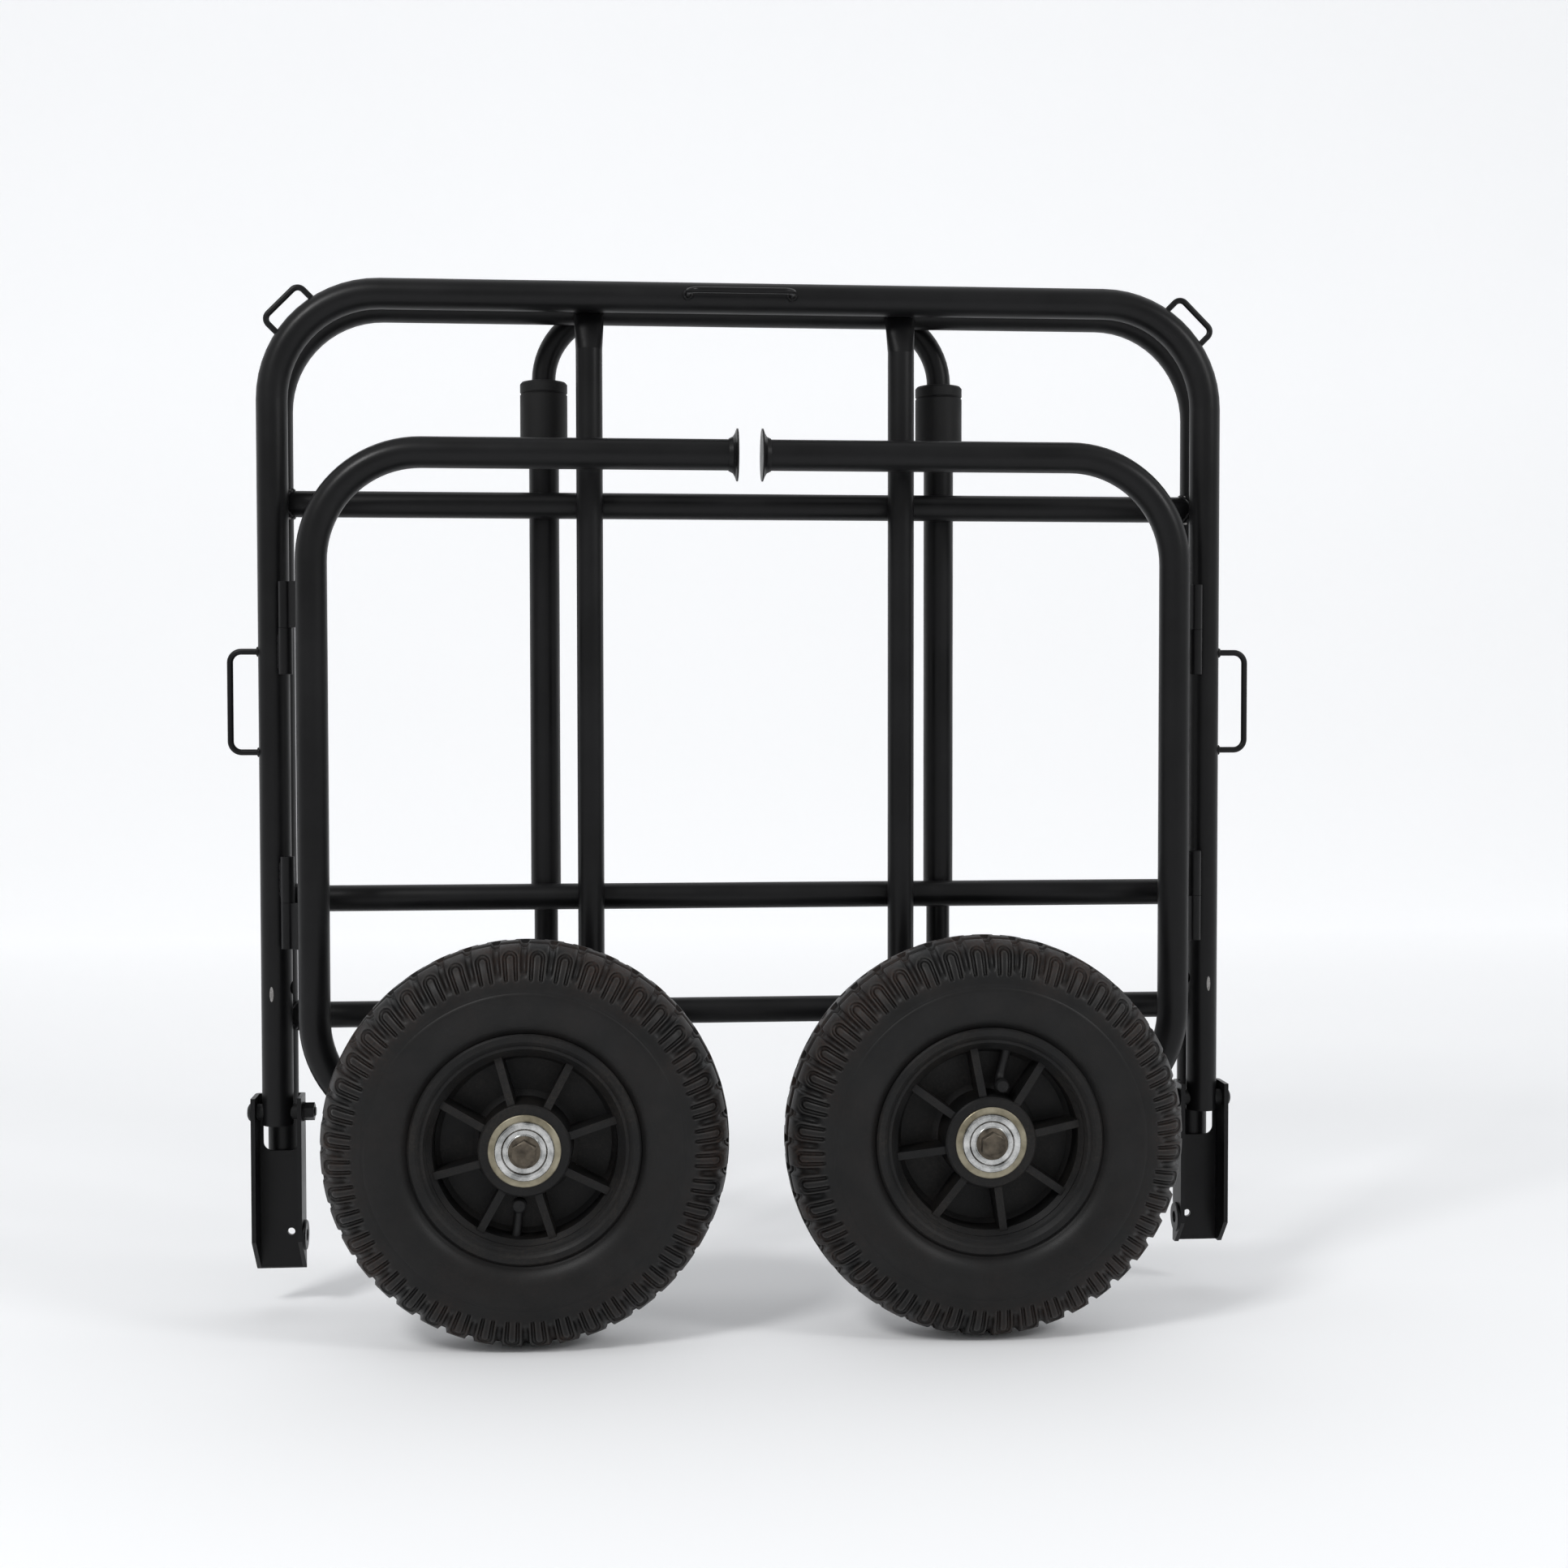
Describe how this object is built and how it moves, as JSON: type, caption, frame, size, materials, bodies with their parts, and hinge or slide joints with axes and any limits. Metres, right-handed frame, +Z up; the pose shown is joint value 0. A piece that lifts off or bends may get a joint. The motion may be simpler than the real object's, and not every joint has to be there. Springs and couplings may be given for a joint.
{
  "type": "folding camp wagon",
  "caption": "Folding flat-bed camp cart, stored flat: two hinged tube frames, swing-out legs with air-filled wheels, a sliding pull handle and rod tie-down loops.",
  "frame": {"origin": "on the floor, under the middle of the folded cart's bounding box", "axes": "+Z up; -Y towards the wheels' outer faces (the side seen first); +X to the right when facing them"},
  "size_m": [0.854, 0.2344, 0.8507],
  "materials": {
    "black_steel": "satin black powder coat",
    "tyre_rubber": "matte, dusty tread",
    "tube_rubber": "matte",
    "rim_plastic": "matte moulded",
    "moulded_plastic": "matte moulded",
    "zinc_steel": "bright zinc plate",
    "bolt_steel": "dull plated",
    "yellow_zinc": "yellow zinc plate"
  },
  "bodies": {
    "front_half": {"front_frame": "black_steel", "pivot_sleeves": "moulded_plastic", "side_tie_loops": "black_steel", "corner_tie_loops": "black_steel", "top_tie_loop": "black_steel", "fixed_hinge_knuckles": "black_steel", "hinge_pins": "black_steel"},
    "rear_half": {"rear_frame": "black_steel", "upper_cross_bar": "black_steel", "middle_cross_bar": "black_steel", "lower_cross_bar": "black_steel", "guide_bushes": "moulded_plastic", "pivot_bolts": "black_steel", "pivot_nuts": "black_steel", "long_bar_left": "black_steel", "guide_tube_left": "black_steel", "collar_left": "moulded_plastic", "bracket_left": "black_steel", "pin_socket_left": "black_steel", "long_bar_right": "black_steel", "guide_tube_right": "black_steel", "collar_right": "moulded_plastic", "bracket_right": "black_steel", "pin_socket_right": "black_steel"},
    "pull_handle": {"handle": "black_steel"},
    "leg_left": {"leg_frame_left": "black_steel", "foot_plate_left": "black_steel", "arm_plug_left": "moulded_plastic", "leg_knuckles_left": "black_steel", "axle_bolt_left": "bolt_steel", "axle_washer_left": "zinc_steel", "axle_spacers_left": "zinc_steel", "axle_nut_left": "zinc_steel"},
    "wheel_left": {"tyre_left": "tyre_rubber", "inner_tube_left": "tube_rubber", "rim_front_left": "rim_plastic", "rim_back_left": "rim_plastic", "bearing_cups_left": "yellow_zinc", "bearings_left": "zinc_steel", "valve_stem_left": "tube_rubber", "valve_cap_left": "moulded_plastic"},
    "leg_right": {"leg_frame_right": "black_steel", "foot_plate_right": "black_steel", "arm_plug_right": "moulded_plastic", "leg_knuckles_right": "black_steel", "axle_bolt_right": "bolt_steel", "axle_washer_right": "zinc_steel", "axle_spacers_right": "zinc_steel", "axle_nut_right": "zinc_steel"},
    "wheel_right": {"tyre_right": "tyre_rubber", "inner_tube_right": "tube_rubber", "rim_front_right": "rim_plastic", "rim_back_right": "rim_plastic", "bearing_cups_right": "yellow_zinc", "bearings_right": "zinc_steel", "valve_stem_right": "tube_rubber", "valve_cap_right": "moulded_plastic"}
  },
  "joints": [
    {"name": "bed_fold", "type": "hinge", "parent": "front_half", "child": "rear_half", "pos_m": [0, 0.0441, 0.165], "axis": [-1, 0, 0], "range_deg": [0, 180]},
    {"name": "handle_slide", "type": "slide", "parent": "rear_half", "child": "pull_handle", "axis": [0, 0, 1], "range_m": [0, 0.4]},
    {"name": "leg_swing_left", "type": "hinge", "parent": "front_half", "child": "leg_left", "pos_m": [-0.3764, 0.0236, 0.44], "axis": [0, 0, -1], "range_deg": [0, 90]},
    {"name": "wheel_spin_left", "type": "hinge", "parent": "leg_left", "child": "wheel_left", "pos_m": [-0.1807, -0.0659, 0.159], "axis": [0, 1, 0], "continuous": true},
    {"name": "leg_swing_right", "type": "hinge", "parent": "front_half", "child": "leg_right", "pos_m": [0.3764, 0.0236, 0.44], "axis": [0, 0, 1], "range_deg": [0, 90]},
    {"name": "wheel_spin_right", "type": "hinge", "parent": "leg_right", "child": "wheel_right", "pos_m": [0.1807, -0.0659, 0.159], "axis": [0, 1, 0], "continuous": true}
  ]
}
